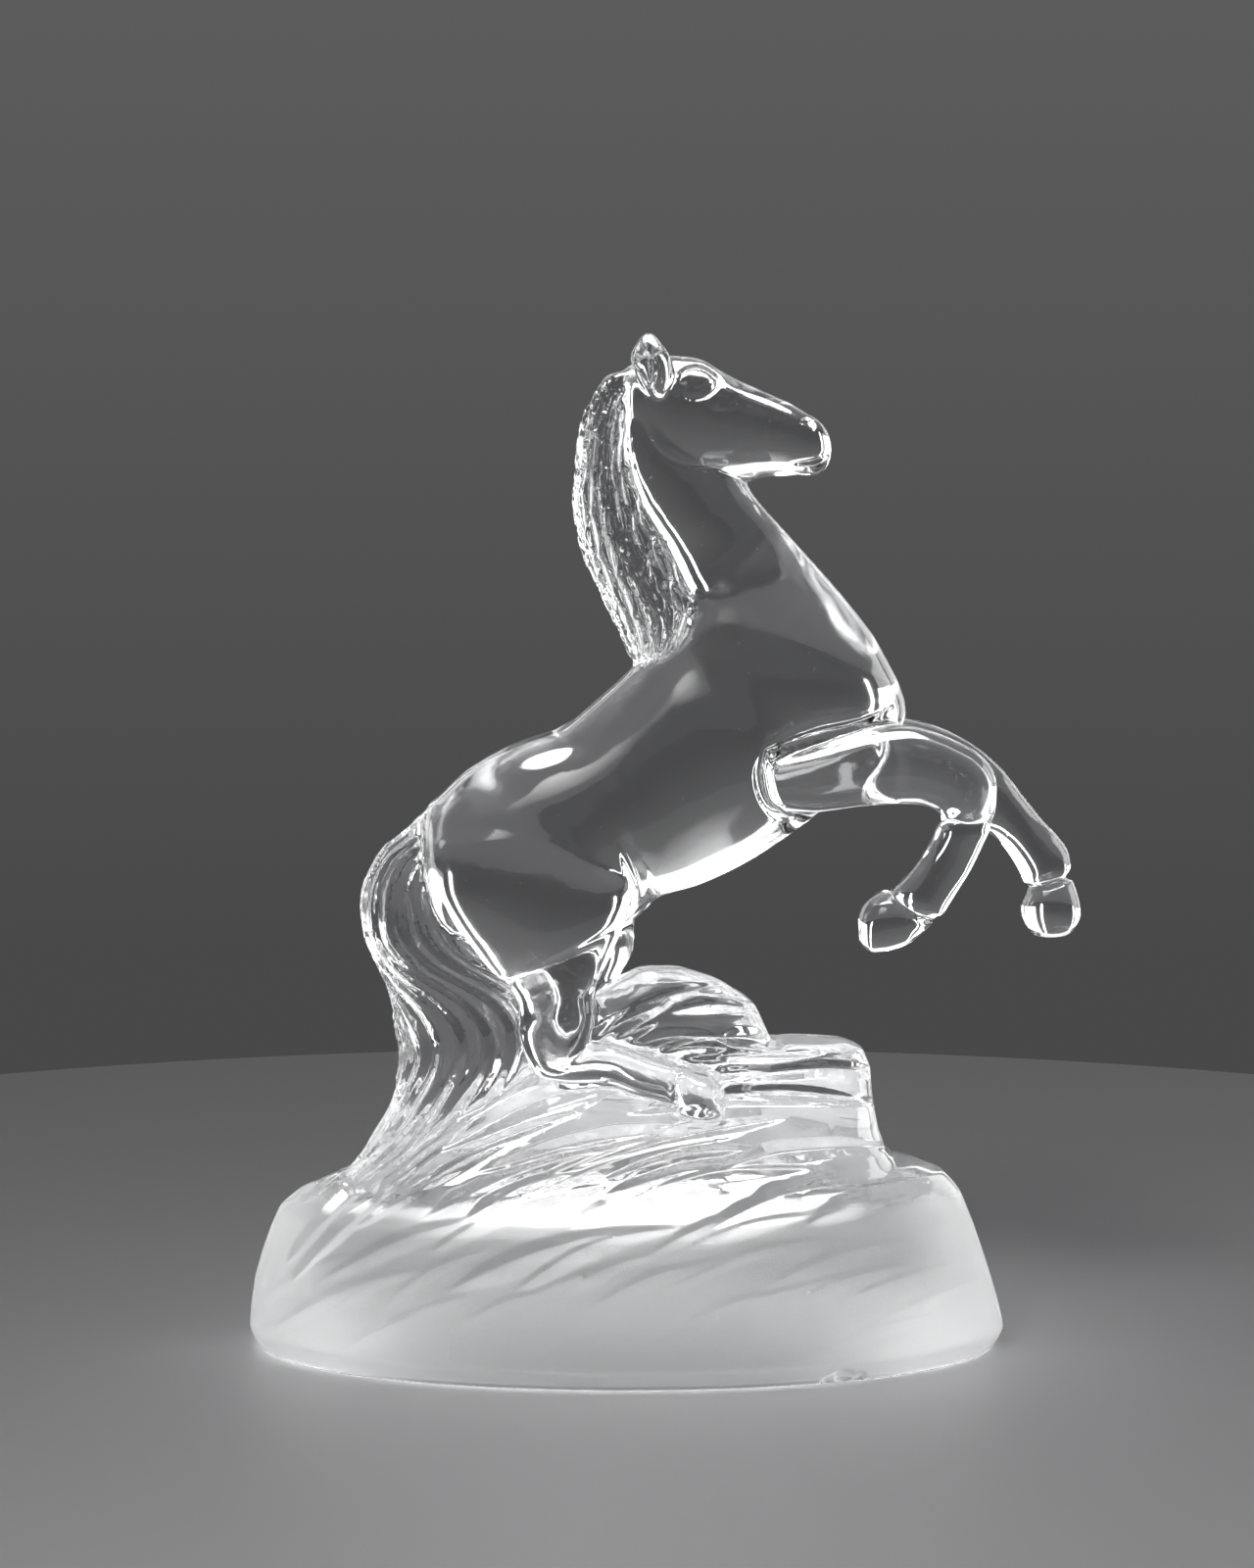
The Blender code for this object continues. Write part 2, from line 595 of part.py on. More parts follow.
def build():
    clear_scene()
    mesh = cut_flat(thinned(carved(melted(forms()))))
    mesh.name = "crystal_horse"
    mesh.materials.clear()
    mesh.materials.append(crystal_material())
    mesh.shade_smooth()
    horse = bpy.data.objects.new("crystal_horse", mesh)
    bpy.context.scene.collection.objects.link(horse)
    print("triangles", len(mesh.polygons))


build()
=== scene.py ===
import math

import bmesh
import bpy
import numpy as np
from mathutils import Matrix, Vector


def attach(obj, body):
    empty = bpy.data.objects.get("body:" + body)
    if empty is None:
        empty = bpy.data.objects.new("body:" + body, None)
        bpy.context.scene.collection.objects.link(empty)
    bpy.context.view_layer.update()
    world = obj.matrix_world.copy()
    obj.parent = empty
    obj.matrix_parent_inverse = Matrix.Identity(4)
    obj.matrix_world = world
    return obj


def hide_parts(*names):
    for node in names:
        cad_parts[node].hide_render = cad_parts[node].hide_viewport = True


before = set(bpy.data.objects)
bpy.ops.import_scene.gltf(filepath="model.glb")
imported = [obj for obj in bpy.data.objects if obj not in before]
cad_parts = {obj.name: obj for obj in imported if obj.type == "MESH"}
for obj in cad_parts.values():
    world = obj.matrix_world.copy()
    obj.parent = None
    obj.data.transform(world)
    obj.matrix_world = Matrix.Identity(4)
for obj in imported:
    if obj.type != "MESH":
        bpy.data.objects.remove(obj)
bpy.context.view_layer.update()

# %% [markdown]
# # A rearing horse in clear crystal
#
# The object is one piece of pressed glass: a horse rears over a grassy rock, and both stand on an
# oval base whose outside is frosted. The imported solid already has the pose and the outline, but
# only a few thousand faces, and clear glass shows every facet twice, once on the way in and once
# on the way out. So this lesson casts the horse again with a fine skin inside the same outline,
# and then gives it its two finishes, fire-polished and satin.

# %% [markdown]
# ## The drawing sheet
#
# A figure like this is drawn from the side before anything else. The sheet is 160 units tall from
# the top of the base to the tips of the ears, and one unit is one millimetre on the real piece.
# x runs the way the horse faces, z runs up from the top of the base, and y is the distance from
# the middle plane, less than zero on the side that is usually shown.

# %% Sizes
BASE_LENGTH = 0.150
BASE_DEPTH = 0.083
BASE_HEIGHT = 0.040
UNIT = 0.001
SHEET_HEIGHT = 160
FINE_VOXEL = 0.00048
FINEST_TRIANGLES = 190000


def sheet(points):
    """From metres in the room to units on the drawing sheet."""
    return (points - np.array([0, 0, BASE_HEIGHT])) / UNIT


def room(points):
    """From units on the drawing sheet to metres in the room."""
    return points * UNIT + np.array([0, 0, BASE_HEIGHT])


print("the sheet is", round(SHEET_HEIGHT * UNIT, 3), "m tall above the base")

# %% [markdown]
# ## Drawing a limb
#
# A leg or a neck could be a chain of cylinders or a bezier curve with a bevel, but neither lets
# the front and the back outline be drawn apart. Here each station of a limb is a short line across
# the side view: the point on one outline, the point on the outline facing it, how far the middle
# stands off the middle plane, and half the thickness there. A Catmull-Rom spline runs smoothly
# through the stations, and a ring goes round each step of it.

# %% A spline through stations
def smoothstep(low, high, value):
    t = np.clip((value - low) / (high - low), 0, 1)
    return t * t * (3 - 2 * t)


def spline(stations, steps):
    """Rows of numbers, joined smoothly: every row is passed through."""
    table = np.array(stations, float)
    padded = np.vstack([2 * table[0] - table[1], table, 2 * table[-1] - table[-2]])
    rows = []
    for before, start, end, after in zip(padded, padded[1:], padded[2:], padded[3:]):
        for t in np.arange(steps) / steps:
            rows.append(0.5 * (
                2 * start + (end - before) * t
                + (2 * before - 5 * start + 4 * end - after) * t ** 2
                + (3 * start - before - 3 * end + after) * t ** 3))
    rows.append(table[-1])
    return np.array(rows)


print("a spline through two stations in 4 steps has", len(spline([(0, 0), (1, 1)], 4)), "rows")


# %% Rings, and a skin over them
def superellipse(count, power):
    """Points round a ring: a circle at power 2, boxier above it."""
    angle = np.arange(count) * 2 * math.pi / count
    c, s = np.cos(angle), np.sin(angle)
    return np.sign(c) * np.abs(c) ** (2 / power), np.sign(s) * np.abs(s) ** (2 / power)


def skin_rings(bm, rings):
    """Bridge the rings one after the other, and close both ends with a fan."""
    rows = [[bm.verts.new(point) for point in ring] for ring in rings]
    count = len(rows[0])
    faces = []
    for low, high in zip(rows, rows[1:]):
        for k in range(count):
            after = (k + 1) % count
            faces.append(bm.faces.new((low[k], low[after], high[after], high[k])))
    for row in (rows[0], rows[-1]):
        middle = bm.verts.new(sum((v.co for v in row), Vector()) / count)
        for k in range(count):
            faces.append(bm.faces.new((row[k], row[(k + 1) % count], middle)))
    bmesh.ops.recalc_face_normals(bm, faces=faces)


LOFT_STEPS = 10
RING_POINTS = 56
CAP_RINGS = 8


def loft(bm, stations, power=2.2, caps=(2.0, 2.0), side=1, around=RING_POINTS):
    """A limb with a rounded cap at each end; side is -1 on the near side and 1 on the far one."""
    x0, z0, x1, z1, y, half_widths = spline(stations, LOFT_STEPS).T
    middle = np.column_stack([(x0 + x1) / 2, side * y, (z0 + z1) / 2])
    across = np.column_stack([(x0 - x1) / 2, 0 * x0, (z0 - z1) / 2])
    c, s = superellipse(around, power)

    def ring(centre, half_across, half_width):
        points = centre + np.outer(c, half_across)
        points[:, 1] += s * half_width
        return room(points)

    def cap(end, inner, length):
        outward = middle[end] - middle[inner]
        outward /= np.linalg.norm(outward)
        angles = np.linspace(0, math.pi / 2, CAP_RINGS + 1)[1:] * 0.98
        return [ring(middle[end] + outward * length * math.sin(a), across[end] * math.cos(a),
                     half_widths[end] * math.cos(a)) for a in angles]

    body = [ring(m, a, w) for m, a, w in zip(middle, across, half_widths)]
    skin_rings(bm, cap(0, 1, caps[0])[::-1] + body + cap(-1, -2, caps[1]))


def stack(bm, levels, power=2.0):
    """A mound from level outlines in metres: height, left end, right end, half depth."""
    c, s = superellipse(180, power)
    rings = []
    for z, left, right, half_depth in levels:
        x = (left + right) / 2 + c * (right - left) / 2
        rings.append(np.column_stack([x, s * half_depth, np.full(len(x), z)]))
    skin_rings(bm, rings)


forms = bmesh.new()

# %% [markdown]
# ## Trunk, neck and head
#
# The back and the belly are the two outlines of one long tube that starts at the croup, thins
# through the neck and ends under the ears. The head is a second tube that lies across its end.
# Making them one tube would bend it so sharply at the jaw that its rings would cross.

# %% Loft the trunk and the head
BODY = [
    (-37.5, 69, -34.5, 42, 0, 12.0), (-31, 75, -20.5, 36, 0, 15.5), (-22, 80, -6, 41, 0, 16.5),
    (-12.5, 83.5, 5.5, 49.5, 0, 16.2), (-5.5, 89, 14.5, 52.6, 0, 15.8),
    (0, 94, 24, 57.2, 0, 15.8), (3, 97.5, 35, 64.6, 0, 15.5), (6, 101, 43.5, 72, 0, 14.5),
    (8, 105, 51, 79, 0, 14.2), (9, 108.5, 54.6, 87.3, 0, 13.2), (9, 112, 49.2, 99.6, 0, 11.0),
    (7.5, 115.5, 43, 108, 0, 9.4), (5.5, 120, 36.9, 115, 0, 8.6), (2.5, 125, 30.6, 122, 0, 8.3),
    (-0.5, 130, 25.6, 127.6, 0, 7.8), (-2.5, 134.5, 22.8, 131.5, 0, 7.4),
    (-3.5, 139.5, 20, 134.5, 0, 7.0), (-2.5, 145.5, 17, 137, 0, 6.5), (0, 151, 14, 141, 0, 5.5)]
HEAD = [
    (0.5, 154, 2, 137, 0, 5.5), (4.5, 155.8, 6, 134, 0, 6.5), (9.5, 155.9, 10.5, 131, 0, 7.2),
    (14.5, 155.2, 15.5, 130.5, 0, 7.4), (19, 152.6, 20.5, 131, 0, 7.0),
    (23.5, 150.3, 24.5, 132, 0, 6.2), (27.5, 148.6, 28, 132.6, 0, 5.6),
    (31.7, 146.7, 31.4, 132.8, 0, 5.3), (35.4, 144.5, 34.9, 132.9, 0, 5.1)]
EAR = [
    (5.2, 149, 7.6, 149.4, 6.2, 1.2), (3.4, 151.6, 8.6, 151.9, 6.2, 2.0),
    (0.9, 154.6, 8.5, 155, 5.9, 2.4), (1.0, 156.8, 7.5, 157.2, 5.5, 2.1),
    (2.3, 158.8, 6, 159, 5.1, 1.5)]
loft(forms, BODY, caps=(4, 2))
loft(forms, HEAD, caps=(2, 4.8))
for side in (-1, 1):
    loft(forms, EAR, caps=(1.4, 1.5), side=side, around=24)
print("trunk, head and ears:", len(forms.faces), "faces so far")

# %% [markdown]
# ## Mane and tail
#
# On pressed glass the hair is never separate locks: the mould holds one thick slab for each, and
# the locks are cut into it. So the mane is a slab that hangs behind the neck, and the tail is one
# that flows down into the grass. Their cutting comes later, when everything is one skin.

# %% Loft the slabs of hair
MANE = [
    (-4.5, 151.5, 1, 152.5, 0, 3.5), (-7.5, 147, 0, 147.5, 0, 5.2), (-9.5, 141.5, 0, 142, 0, 6.4),
    (-10, 135.5, 0.5, 136, 0, 7.2), (-10.7, 129.5, 2.5, 130.5, 0, 7.8),
    (-10, 122.5, 5.5, 124, 0, 8.4), (-8, 115.5, 9, 118, 0, 9.2), (-5, 109, 12.5, 112, 0, 9.8),
    (-2, 103, 15.5, 107, 0, 10.2), (0.5, 97.5, 14, 101, 0, 9.6), (1.5, 95.5, 8, 97, 0, 7.0)]
TAIL = [
    (-40, 66.5, -34, 60, 0, 4.0), (-44.5, 62.5, -35, 56, 0, 5.0), (-48.7, 59, -35, 52, 0, 6.0),
    (-52, 52.7, -34.5, 49, 0, 7.0), (-52.8, 46.8, -31.5, 45, 0, 7.8),
    (-52, 41.5, -28, 41.5, 0, 8.3), (-49.5, 36, -24, 37.5, 0, 8.7),
    (-47.3, 30.8, -20.5, 33, 0, 9.0), (-46.2, 24.3, -18.5, 27, 0, 9.4),
    (-45.2, 18, -18, 20, 0, 9.8), (-46, 12.5, -19.5, 13, 0, 10.4),
    (-47.4, 7.6, -23, 7.2, 0, 11.4), (-50, 3, -28, 1.6, 0, 12.8), (-52.6, -1.3, -33, -4, 0, 14.2),
    (-56.5, -6.5, -36, -11, 0, 15.0)]
MANE_POWER = 2.1
TAIL_POWER = 2.3
loft(forms, MANE, power=MANE_POWER, caps=(1, 1.5))
loft(forms, TAIL, power=TAIL_POWER, caps=(1, 1))
print("with mane and tail:", len(forms.faces), "faces")

# %% [markdown]
# ## Hind legs
#
# Each hind leg is a heavy thigh, a thinner leg that folds at the hock, and a hoof. The thigh stops
# short with a round end, which leaves the crease where it bulges over the leg below it. The far
# leg is the near one moved a little forward below the stifle, which is how a rearing horse stands,
# and the shift fades in between two heights there. A mould can't reach between two legs, so the
# glass there stays: a web fills the gap.

# %% Loft the hind legs
THIGH = [(-38, 60, 0, 64, 8, 8.5), (-37.3, 53, 1.5, 57.5, 8.6, 9.2), (-34, 47, 1.5, 54, 9.2, 9.2),
         (-28.9, 39.5, 0.8, 50.5, 9.6, 8.8), (-25.5, 35.5, 0, 48.5, 9.6, 8.2)]
LOWER_HIND_LEG = [
    (-31, 44, 0, 47, 9, 6.6), (-25.5, 37, -4.0, 38, 9.5, 6.6), (-21.7, 31.7, -6.5, 32.7, 10, 6.2),
    (-21, 28, -6.5, 28, 10.2, 5.9), (-21, 24, -7, 24, 10.4, 5.7),
    (-19.6, 19.5, -7.7, 21, 10.6, 5.5), (-17.5, 16.3, -8, 20.5, 10.8, 5.2),
    (-12.5, 15, -6.5, 22, 11, 4.9), (-4, 15, -2, 21.7, 11.3, 4.6), (2, 13, 3.7, 19.7, 11.6, 4.4),
    (7.7, 11.5, 10, 18, 11.9, 4.6), (11.5, 10.5, 13.5, 16.5, 12.2, 4.2)]
HIND_HOOF = [
    (10.2, 8.4, 12, 16, 12.4, 4.2), (14.5, 7.6, 15, 16.4, 12.6, 5.2),
    (17.6, 8.2, 17, 14.7, 12.6, 4.8)]
STIFLE = (43, 47.5)
FAR_LEG_FORWARD = 5
FAR_HIP_BACK = 1.5
WEB_HALF_WIDTH = 12


def stepped_forward(stations):
    """The far leg's stations: back a little at the hip, forward below the stifle."""
    moved = []
    for x0, z0, x1, z1, y, width in stations:
        share = 1 - float(smoothstep(*STIFLE, (z0 + z1) / 2))
        shift = FAR_LEG_FORWARD * share - FAR_HIP_BACK * (1 - share)
        moved.append((x0 + shift, z0, x1 + shift, z1, y, width))
    return moved


for side, pose in ((-1, list), (1, stepped_forward)):
    loft(forms, pose(THIGH), power=2.2, caps=(7, 2.6), side=side)
    loft(forms, pose(LOWER_HIND_LEG), power=2.4, caps=(1, 1), side=side)
    loft(forms, pose(HIND_HOOF), power=2.5, caps=(1.5, 1.5), side=side)
web = [(x0 + 0.8, z0, x1 - 0.5, z1, 0, WEB_HALF_WIDTH)
       for x0, z0, x1, z1, y, width in THIGH[:3] + LOWER_HIND_LEG[1:]]
loft(forms, web, power=4, caps=(1, 1))
print("with hind legs:", len(forms.faces), "faces")

# %% [markdown]
# ## Forelegs
#
# The near foreleg folds under itself and the far one reaches out in front, so they can't share
# their stations. Each hoof is its own short loft that is thicker than the pastern above it, which
# gives the notch at the fetlock for free.

# %% Loft the forelegs
FORELEG_NEAR = [
    (28.5, 79, 29.5, 68.5, 10.3, 6.0), (37, 81.2, 37, 68, 10.6, 6.6),
    (45.5, 83.4, 45, 69, 10.4, 6.5), (53.4, 84.6, 52, 69.4, 9.8, 6.3),
    (59, 83.6, 57, 69.2, 9.4, 6.1), (65, 81, 60, 68.2, 9.1, 6.0),
    (69.2, 78.3, 61, 67.3, 8.9, 5.8), (71.7, 74, 61.2, 66, 8.8, 5.6),
    (71.5, 67, 60.5, 64.3, 8.8, 5.3), (69.4, 61.5, 59.2, 61.3, 8.8, 4.9),
    (67.2, 56.6, 56.8, 57.6, 8.8, 4.7), (64.4, 52, 53.8, 54, 8.8, 4.7),
    (61.6, 47.4, 52.4, 52.3, 8.8, 4.8)]
HOOF_NEAR = [
    (59.8, 45.8, 51.4, 52.4, 8.8, 4.3), (55.6, 42.2, 47.6, 50.8, 8.8, 5.4),
    (51.6, 40.6, 45.4, 47.2, 8.8, 5.2), (48.8, 40.4, 45.6, 43.7, 8.8, 4.2)]
FORELEG_FAR = [
    (29.5, 80, 30, 68.5, 10.3, 6.0), (40, 82.8, 40, 69, 10.6, 6.5), (50, 84.6, 49, 70, 10.2, 6.4),
    (60, 83.2, 58, 69.5, 9.8, 6.1), (68, 79.4, 63.5, 67, 9.5, 5.7),
    (73.6, 75, 67.5, 64, 9.3, 5.3), (76.5, 71.6, 70, 62.5, 9.2, 5.0),
    (79.5, 67.7, 72.3, 61.4, 9.2, 4.8), (82.5, 64, 74.3, 59.8, 9.2, 4.7),
    (85.4, 61, 76.2, 57.3, 9.2, 4.7), (87.6, 58, 78, 54.3, 9.2, 4.7),
    (88.4, 54.5, 79.4, 51.2, 9.2, 4.7)]
HOOF_FAR = [
    (88.7, 52, 80.0, 49.9, 9.2, 4.5), (90.1, 47.8, 78.6, 46.8, 9.2, 5.4),
    (90.3, 44.4, 79.2, 43.9, 9.2, 5.2), (89.0, 42.0, 80.8, 41.6, 9.2, 4.2)]
for leg, hoof, side in ((FORELEG_NEAR, HOOF_NEAR, -1), (FORELEG_FAR, HOOF_FAR, 1)):
    loft(forms, leg, power=2.3, caps=(2.5, 1), side=side)
    loft(forms, hoof, power=2.2, caps=(1.5, 1.2), side=side)
print("with forelegs:", len(forms.faces), "faces")

# %% [markdown]
# ## Base, bank and rock
#
# These are seen from above as ovals, so they are stacks of level outlines instead of lofts along a
# limb. The base is a chamfered foot, a wall that leans in, and a low dome. The bank and its square
# rock stand on it, and a mound fills the space under the belly.

# %% Stack the base and the rock
BASE_LEVELS = [
    (-0.1, -0.967, 0.964, 0.934), (0.0, -0.967, 0.964, 0.934), (0.05, -0.988, 0.985, 0.975),
    (0.1, -1.0, 0.998, 1.0), (0.225, -0.994, 0.982, 0.988), (0.35, -0.984, 0.963, 0.969),
    (0.475, -0.965, 0.941, 0.940), (0.6, -0.941, 0.918, 0.901), (0.7, -0.917, 0.897, 0.858),
    (0.7625, -0.880, 0.883, 0.814), (0.8125, -0.820, 0.866, 0.759), (0.875, -0.750, 0.835, 0.687),
    (0.925, -0.660, 0.767, 0.614), (0.9625, -0.533, 0.687, 0.506), (0.99, -0.267, 0.467, 0.289)]
BANK_FOOT = [(-10, -0.74, 0.76, 0.70), (-4, -0.69, 0.71, 0.63)]
BANK = [(0, -47, 51, 22.5), (4, -43, 49.6, 19.0), (8, -38, 48.8, 16.0), (12, -29, 48.2, 13.0),
        (16, -20, 48, 11.0), (19.6, -14, 46.5, 9.6), (21.2, -11, 43, 8.0)]
MOUND = [(10, -9, 32, 12.5), (18, -9, 30.5, 10.6), (23, -8.6, 27.6, 9.6), (28, -7.5, 25.4, 8.8),
         (30.8, -5.8, 22.6, 8.0), (33.6, -1.6, 16.8, 6.6), (35.4, 2, 11, 4.4)]


def shared(levels, to_height):
    """Level outlines given as shares of the base's length and depth."""
    return [(to_height(z), left * BASE_LENGTH / 2, right * BASE_LENGTH / 2, depth * BASE_DEPTH / 2)
            for z, left, right, depth in levels]


def drawn(levels):
    """Level outlines given in units of the sheet."""
    return [(z * UNIT + BASE_HEIGHT, left * UNIT, right * UNIT, depth * UNIT)
            for z, left, right, depth in levels]


stack(forms, shared(BASE_LEVELS, lambda z: z * BASE_HEIGHT))
stack(forms, shared(BANK_FOOT, lambda z: z * UNIT + BASE_HEIGHT) + drawn(BANK), power=3.2)
stack(forms, drawn(MOUND), power=2.6)
print("all forms:", len(forms.faces), "faces")

# %% [markdown]
# ## Melting the forms together
#
# A Boolean union would join the lofts with knife-sharp seams. Pressed glass has none, because its
# surface melts a little as it leaves the mould. A voxel remesh makes one closed skin of evenly
# small faces, and a few rounds of smoothing run its seams together. Smoothing also draws the skin
# in by about 0.2 mm, which is given back when the details are pressed in.

# %% One skin
def with_modifiers(mesh, *settings):
    """The mesh as a chain of modifiers leaves it."""
    carrier = bpy.data.objects.new("carrier", mesh)
    bpy.context.scene.collection.objects.link(carrier)
    for kind, values in settings:
        modifier = carrier.modifiers.new(kind.title(), kind)
        for name, value in values.items():
            setattr(modifier, name, value)
    graph = bpy.context.evaluated_depsgraph_get()
    result = bpy.data.meshes.new_from_object(carrier.evaluated_get(graph))
    bpy.data.objects.remove(carrier)
    return result


MELT_ROUNDS = 14
loose = bpy.data.meshes.new("loose_forms")
forms.to_mesh(loose)
forms.free()
skin = with_modifiers(
    loose,
    ("REMESH", {"mode": "VOXEL", "voxel_size": FINE_VOXEL}),
    ("SMOOTH", {"factor": 0.5, "iterations": MELT_ROUNDS}))
place = np.empty(len(skin.vertices) * 3)
skin.vertices.foreach_get("co", place)
place = place.reshape(-1, 3)
normal = np.empty(len(skin.vertices) * 3)
skin.vertices.foreach_get("normal", normal)
normal = normal.reshape(-1, 3)
points = sheet(place)
print("one skin of", len(points), "points")

# %% [markdown]
# ## Where a point lies on a limb
#
# To comb hair along the tail, each point of the skin needs to know how far down the tail it is and
# how far round. The nearest station gives the first and an angle gives the second. A third number
# says how surely the point belongs to this limb: it falls to zero where another form stands in
# front, so that the hair stops cleanly at the leg.

# %% Find a point on a limb
SEARCH_STEPS = 16
POINTS_AT_A_TIME = 8000


def on_limb(stations, power, side=0):
    """How far along the limb (0 to 1), the angle round it, and how surely each point is on it."""
    x0, z0, x1, z1, y, half_width = spline(stations, SEARCH_STEPS).T
    middle = np.column_stack([(x0 + x1) / 2, (z0 + z1) / 2])
    across = np.column_stack([(x0 - x1) / 2, (z0 - z1) / 2])
    size = np.linalg.norm(across, axis=1)
    along, angle, surely = np.zeros((3, len(points)))
    ends = np.vstack([middle + across, middle - across])
    low, high = ends.min(axis=0) - 3, ends.max(axis=0) + 3
    flat = points[:, (0, 2)]
    near = np.flatnonzero(((flat > low) & (flat < high)).all(axis=1) & (points[:, 1] * side >= 0))
    for chosen in np.array_split(near, max(1, len(near) // POINTS_AT_A_TIME)):
        offset = flat[chosen, None] - middle
        share = np.einsum("pij,ij->pi", offset, across) / size ** 2
        gap = offset - np.clip(share, -1, 1)[..., None] * across
        station = np.einsum("pij,pij->pi", gap, gap).argmin(axis=1)
        u = share[np.arange(len(chosen)), station]
        v = (points[chosen, 1] - side * y[station]) / half_width[station]
        off = np.abs((np.abs(u) ** power + np.abs(v) ** power) ** (1 / power) - 1)
        off *= np.minimum(size[station], half_width[station])
        last = len(middle) - 1
        inside = (station > 0) & (station < last)
        along[chosen] = station / last
        angle[chosen] = np.abs(np.arctan2(v, u))
        surely[chosen] = (1 - smoothstep(0.6, 1.5, off)) * inside
    return along, angle, surely


# %% [markdown]
# ## Cutting the hair
#
# The mould maker cuts hair with a gouge, in long leaf-shaped scoops that start and end in a point.
# Side by side in staggered rows their edges leave sharp, slightly wandering ridges, and those read
# as locks. Long scoops that sway make the tail, and short ones laid like scales make the mane.

# %% Comb the tail and the mane
def scoops(row, length, stagger):
    """Staggered leaf-shaped scoops, row beside row: 0 on the ridges, 1 in the hollows."""
    number = np.floor(row)
    offset = stagger * (number % 2) + 0.37 * np.sin(number * 12.9)
    u = row - number - 0.5
    v = length + offset
    v = v - np.floor(v) - 0.5
    half = 0.62 * np.cos(math.pi * v) ** 0.55 + 1e-6
    return np.clip(1 - (np.abs(u) / half) ** 1.4, 0, 1)


def strands(row):
    """Long hollows side by side, with sharp ridges: 0 on the ridges, 1 in the hollows."""
    return 1 - np.abs(2 * (row - np.floor(row)) - 1) ** 1.6


LOCKS = 8.5
LOCK_DEPTH = 0.95
FINER_DEPTH = 0.4
SCALE_ROWS = 10
SCALE_DEPTH = 1.3
PLAINER_HAIR = 0.6
PLAINER_GRASS = 0.75
far_side = smoothstep(-2, 3, points[:, 1])
down_tail, round_tail, on_tail = on_limb(TAIL, TAIL_POWER)
sway = 1.3 * np.sin(7.5 * down_tail - 0.4) + 0.35 * np.sin(19 * down_tail)
row = LOCKS * round_tail / math.pi + sway
locks = strands(row)
finer = strands(2 * LOCKS * round_tail / math.pi + 1.7 * sway) * scoops(row, 4 * down_tail, 0.5)
depth = (LOCK_DEPTH * locks + FINER_DEPTH * finer) * on_tail * smoothstep(0.01, 0.12, down_tail)
down_mane, round_mane, on_mane = on_limb(MANE, MANE_POWER)
scales = scoops(SCALE_ROWS * round_mane / math.pi + 3.4 * down_mane, 8 * down_mane, 0.5)
depth += SCALE_DEPTH * scales * on_mane * smoothstep(0.0, 0.08, down_mane)
depth *= 1 - PLAINER_HAIR * far_side
print("combed points:", int((depth > 0.05).sum()))

# %% [markdown]
# ## Creases and swellings
#
# The face, the joints and the folds of skin are a few shallow lines pressed into the sides, and
# some soft swellings beside them. They are drawn on the sheet as lines with a width and a depth.
# A sculpted mesh would need hundreds of points for the same eye.

# %% Press the creases
def distance_to_line(flat, line):
    """Signed distance from a line through a few points, and how far along it each point is."""
    line = np.array(line, float)
    lengths = np.linalg.norm(np.diff(line, axis=0), axis=1)
    best = np.full(len(flat), 1e9)
    along = np.zeros(len(flat))
    passed = 0.0
    for start, end, length in zip(line, line[1:], lengths):
        step = (end - start) / length
        t = np.clip((flat - start) @ step, 0, length)
        away = flat - start - t[:, None] * step
        far = np.linalg.norm(away, axis=1)
        closer = far < np.abs(best)
        turned = np.sign(step[0] * away[:, 1] - step[1] * away[:, 0])
        best[closer] = (far * np.where(turned < 0, -1, 1))[closer]
        along[closer] = (passed + t[closer]) / lengths.sum()
        passed += length
    return best, along


CREASES = [
    ([(26.5, 80), (26, 75), (28, 69.5), (31.5, 66.5)], 2.0, 1.2, 0),
    ([(27, 80.5), (35, 83.5), (44, 86), (51, 88.5)], 2.2, 0.9, 0),
    ([(58.5, 66.8), (65, 65.6), (73.5, 66.2)], 1.8, 0.45, -1),
    ([(51, 52), (55, 48.5), (60.5, 46)], 1.1, 0.8, -1),
    ([(10.5, 18.5), (9, 15), (9.6, 10.5)], 1.1, 0.8, -1),
    ([(15.5, 18.5), (14, 15), (14.6, 10.5)], 1.1, 0.8, 1),
    ([(78.5, 50.5), (84, 51.5), (89.5, 53)], 1.1, 0.8, 1),
    ([(3, 143), (6, 137.5), (11, 134.5), (17, 134.5)], 1.6, 0.5, 0),
    ([(40, 137.5), (36.5, 136), (32, 135.4)], 0.7, 0.5, 0),
    ([(33.6, 143.4), (35.2, 143.2), (36.2, 141.8)], 0.8, 0.7, 0),
    ([(9.9, 150.6), (11.2, 153.2), (14.6, 153.6), (17.6, 151), (14.8, 148.2), (11.4, 148.2),
     (9.9, 150.6)], 0.7, 0.7, 0),
    ([(15.5, 146), (17.6, 145), (20, 145.6)], 0.7, 0.35, 0),
    ([(4.6, 150.2), (5.0, 153.5), (4.4, 156.8)], 0.8, 0.8, 0),
    ([(-1, 62), (1.5, 56), (2, 50)], 2.0, 0.8, 0),
    ([(-3.5, 152), (-0.5, 146.5), (-0.3, 139), (2, 130), (6, 122), (9, 116.5)], 1.0, 0.6, 0)]
SWELLINGS = [
    (13.7, 150.9, 3.2, 2.3, 0.9), (-27, 73, 9, 5, 0.8), (44, 92, 9, 9, 0.8),
    (23, 137, 5, 3.5, 0.5)]
side_view = points[:, (0, 2)]
for line, half_width, deep, side in CREASES:
    away, along = distance_to_line(side_view, spline(line, 6))
    taper = np.sin(math.pi * np.clip(along, 0.04, 0.96)) ** 0.4
    cut = deep * np.clip(1 - (away / (half_width * taper)) ** 2, 0, 1) * taper
    depth = np.maximum(depth, cut * (points[:, 1] * side >= 0) * (np.abs(points[:, 1]) > 1.5))
